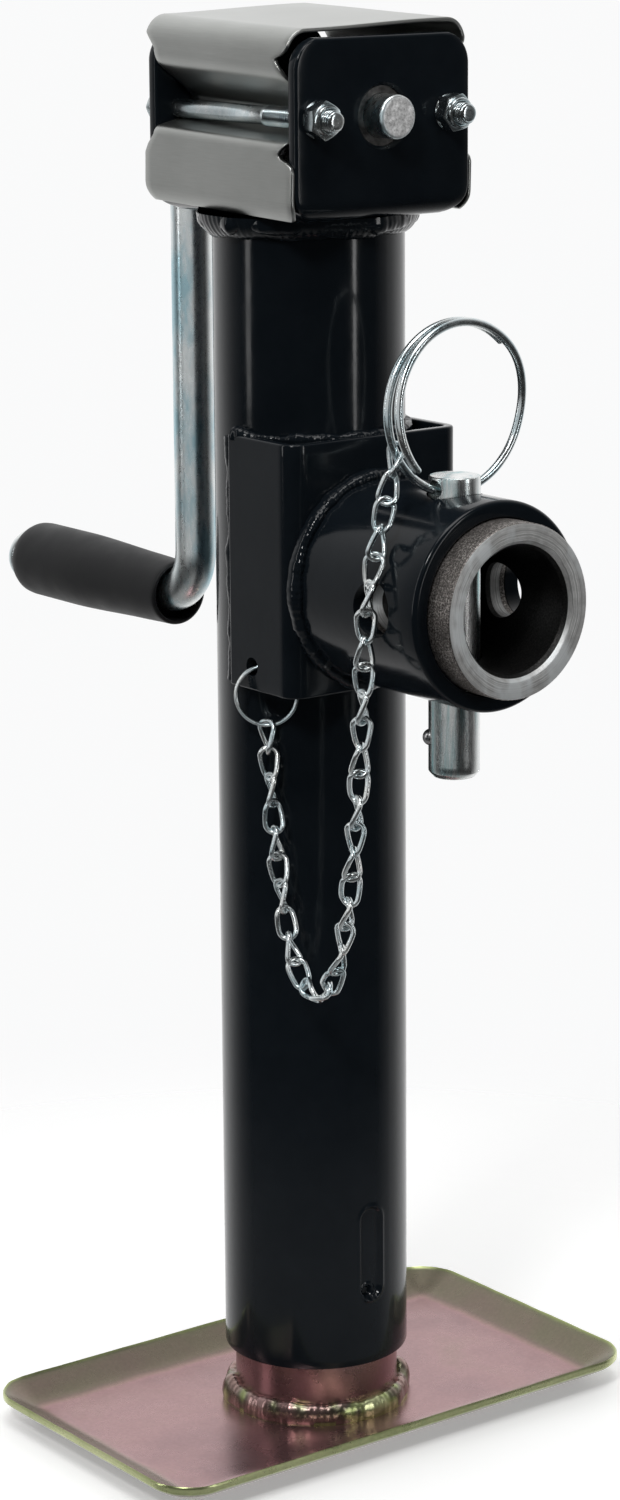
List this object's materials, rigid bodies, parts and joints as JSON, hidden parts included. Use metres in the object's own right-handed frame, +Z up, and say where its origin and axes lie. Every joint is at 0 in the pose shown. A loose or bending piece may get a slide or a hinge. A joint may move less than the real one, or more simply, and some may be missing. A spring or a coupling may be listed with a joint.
{
  "type": "trailer tongue jack",
  "caption": "Side-crank trailer tongue jack: telescoping tube with drop foot, bevel-geared lift screw, swivel pipe mount and chained pull pin.",
  "frame": {"origin": "middle of the foot's flat sole, on the ground, on the lift tube's axis, with the leg fully raised", "axes": "+Z up along the lift tube; -Y towards the mount pipe's mouth; +Y towards the crank handle; X along the foot's long side"},
  "size_m": [0.1786, 0.2551, 0.4316],
  "materials": {
    "black_coat": "gloss black powder coat",
    "cover_zinc": "satin galvanized sheet",
    "bright_zinc": "bright clear-blue zinc plate",
    "yellow_zinc": "yellow zinc plate, pink and olive sheen",
    "bare_steel": "bare machined and scaled steel",
    "grip_rubber": "matte black",
    "bearing_steel": "ground",
    "nut_bronze": "machined",
    "dark_bushing": "dark oiled"
  },
  "bodies": {
    "frame": {"outer_tube": "black_coat", "gear_housing": "black_coat", "housing_weld": "black_coat", "gear_cover": "cover_zinc", "cover_bolts": "bright_zinc", "cover_nuts": "bright_zinc", "front_bushing": "dark_bushing", "rear_bushing": "dark_bushing", "screw_bushing": "nut_bronze", "thrust_race_upper": "bearing_steel", "thrust_balls": "bearing_steel", "swivel_bracket": "black_coat", "bracket_welds": "black_coat", "swivel_housing": "black_coat", "swivel_weld": "black_coat", "mount_pipe": "bare_steel", "anchor_ring": "bright_zinc", "chain_lower": "bright_zinc"},
    "screw": {"lead_screw": "bearing_steel", "thrust_race_lower": "bearing_steel", "screw_gear": "bearing_steel", "gear_pin": "bearing_steel"},
    "crank": {"crank_bar": "bright_zinc", "crank_pinion": "bearing_steel", "pinion_pin": "bearing_steel", "crank_collar": "dark_bushing", "grip_cap": "bright_zinc"},
    "grip": {"grip": "grip_rubber"},
    "drop_leg": {"inner_tube": "yellow_zinc", "lift_nut": "nut_bronze", "nut_plugs": "bearing_steel", "foot_plate": "yellow_zinc", "foot_weld": "yellow_zinc"},
    "pull_pin": {"pull_pin": "bright_zinc", "detent_spring": "bearing_steel", "chain_upper": "bright_zinc"},
    "detent_ball": {"detent_ball": "bearing_steel"},
    "pin_ring": {"pin_ring": "bright_zinc"}
  },
  "joints": [
    {"name": "crank_turn", "type": "hinge", "parent": "frame", "child": "crank", "pos_m": [0, 0, 0.4042], "axis": [0, 1, 0], "range_deg": [0, 36576]},
    {"name": "screw_turn", "type": "hinge", "parent": "frame", "child": "screw", "pos_m": [0, 0, 0.3], "axis": [0, 0, 1], "range_deg": [0, 18288]},
    {"name": "leg_lift", "type": "slide", "parent": "frame", "child": "drop_leg", "axis": [0, 0, -1], "range_m": [0, 0.254]},
    {"name": "grip_spin", "type": "hinge", "parent": "crank", "child": "grip", "pos_m": [0, 0.12, 0.2494], "axis": [0, 1, 0], "continuous": true},
    {"name": "pin_pull", "type": "slide", "parent": "frame", "child": "pull_pin", "axis": [0, 0, 1], "range_m": [0, 0.086], "deforming": ["chain_lower"]},
    {"name": "detent_press", "type": "slide", "parent": "pull_pin", "child": "detent_ball", "axis": [0.7986, -0.6018, 0], "range_m": [0, 0.0006], "stiffness_N_per_m": 400, "deforming": ["detent_spring"]},
    {"name": "ring_swing", "type": "hinge", "parent": "pull_pin", "child": "pin_ring", "pos_m": [0, -0.0683, 0.301], "axis": [1, 0, 0], "range_deg": [-50, 75], "deforming": ["chain_upper"]}
  ],
  "couplings": [
    {"joint": "screw_turn", "follows": "crank_turn", "ratio": 0.5},
    {"joint": "leg_lift", "follows": "crank_turn", "m_per_rad": 0.00039789}
  ]
}
